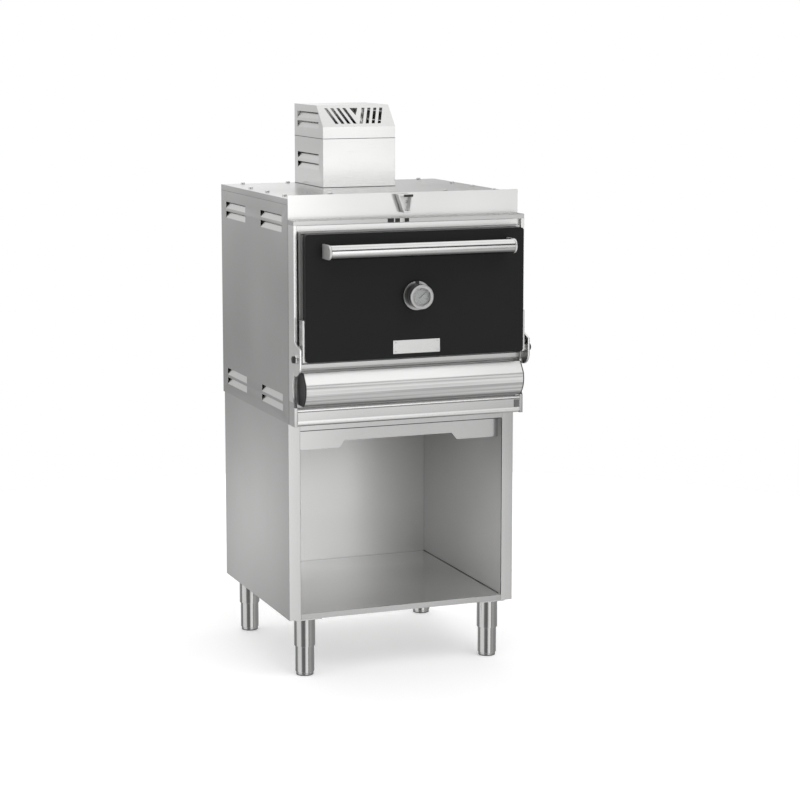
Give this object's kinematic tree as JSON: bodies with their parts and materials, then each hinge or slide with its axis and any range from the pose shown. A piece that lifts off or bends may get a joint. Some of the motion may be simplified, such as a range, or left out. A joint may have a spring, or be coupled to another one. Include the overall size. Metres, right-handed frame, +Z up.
{
  "type": "charcoal oven on cabinet",
  "caption": "Insulated steel charcoal oven with a drop-down door, ash drawer, damper and flue hat, standing on an open cabinet with adjustable legs.",
  "frame": {"origin": "on the floor, below the middle of the whole object's plan", "axes": "+X to the viewer's right facing the door, +Y to the back, +Z up"},
  "size_m": [0.684, 0.7516, 1.534],
  "materials": {
    "steel_sheet": "brushed",
    "polished_steel": "polished",
    "black_enamel": "satin",
    "cast_iron": "raw",
    "rack_steel": "drawn",
    "mineral_wool": "matte",
    "rope_seal": "matte",
    "dial_face": "matte",
    "lens_glass": "clear",
    "pad_plastic": "matte"
  },
  "bodies": {
    "oven": {"cabinet_side_left": "steel_sheet", "cabinet_side_right": "steel_sheet", "cabinet_linings": "steel_sheet", "cabinet_back": "steel_sheet", "cabinet_shelf": "steel_sheet", "cabinet_rails": "steel_sheet", "cabinet_apron": "steel_sheet", "base_plate": "steel_sheet", "side_panel_left": "steel_sheet", "side_panel_right": "steel_sheet", "rear_panel": "steel_sheet", "top_cover": "steel_sheet", "fascia": "steel_sheet", "front_surround": "steel_sheet", "door_frame": "steel_sheet", "lower_rail": "steel_sheet", "hat_box": "steel_sheet", "hat_cap": "steel_sheet", "flue_pipe": "steel_sheet", "drawer_runners": "steel_sheet", "hinge_ears": "steel_sheet", "leg_plates": "steel_sheet", "leg_sleeves": "polished_steel", "hinge_pins": "polished_steel", "top_screws": "polished_steel", "firebox_sides": "black_enamel", "firebox_back": "black_enamel", "firebox_roof": "black_enamel", "firebox_floor": "black_enamel", "chamber_ledges": "black_enamel", "fire_grate": "cast_iron", "grill_racks": "rack_steel", "insulation": "mineral_wool"},
    "door": {"door_shell": "black_enamel", "door_back_plate": "steel_sheet", "door_liner": "steel_sheet", "door_insulation": "mineral_wool", "door_seal": "rope_seal", "door_straps": "polished_steel", "door_plate": "polished_steel", "handle_posts": "polished_steel", "handle_bar": "polished_steel", "thermometer_case": "polished_steel", "thermometer_dial": "dial_face", "thermometer_lens": "lens_glass"},
    "needle": {"thermometer_needle": "polished_steel"},
    "drawer": {"drawer_front": "steel_sheet", "drawer_end_caps": "black_enamel", "ash_tray": "steel_sheet"},
    "damper": {"damper_rod": "polished_steel", "damper_plate": "polished_steel", "damper_lever": "polished_steel"},
    "foot_front_left": {"foot_front_left": "polished_steel", "foot_pad_front_left": "pad_plastic"},
    "foot_front_right": {"foot_front_right": "polished_steel", "foot_pad_front_right": "pad_plastic"},
    "foot_rear_left": {"foot_rear_left": "polished_steel", "foot_pad_rear_left": "pad_plastic"},
    "foot_rear_right": {"foot_rear_right": "polished_steel", "foot_pad_rear_right": "pad_plastic"}
  },
  "joints": [
    {"name": "door_hinge", "type": "hinge", "parent": "oven", "child": "door", "pos_m": [0, -0.29025, 0.889], "axis": [1, 0, 0], "range_deg": [0, 90]},
    {"name": "drawer_slide", "type": "slide", "parent": "oven", "child": "drawer", "axis": [0, -1, 0], "range_m": [0, 0.4]},
    {"name": "damper_turn", "type": "hinge", "parent": "oven", "child": "damper", "pos_m": [0, -0.22725, 1.291], "axis": [0, 1, 0], "range_deg": [0, 90]},
    {"name": "needle_turn", "type": "hinge", "parent": "door", "child": "needle", "pos_m": [0, -0.34325, 1.047], "axis": [0, 1, 0], "range_deg": [-165, 75], "stiffness_Nm_per_rad": 0.001},
    {"name": "foot_front_left_adjust", "type": "slide", "parent": "oven", "child": "foot_front_left", "axis": [0, 0, -1], "range_m": [0, 0.03]},
    {"name": "foot_front_right_adjust", "type": "slide", "parent": "oven", "child": "foot_front_right", "axis": [0, 0, -1], "range_m": [0, 0.03]},
    {"name": "foot_rear_left_adjust", "type": "slide", "parent": "oven", "child": "foot_rear_left", "axis": [0, 0, -1], "range_m": [0, 0.03]},
    {"name": "foot_rear_right_adjust", "type": "slide", "parent": "oven", "child": "foot_rear_right", "axis": [0, 0, -1], "range_m": [0, 0.03]}
  ]
}
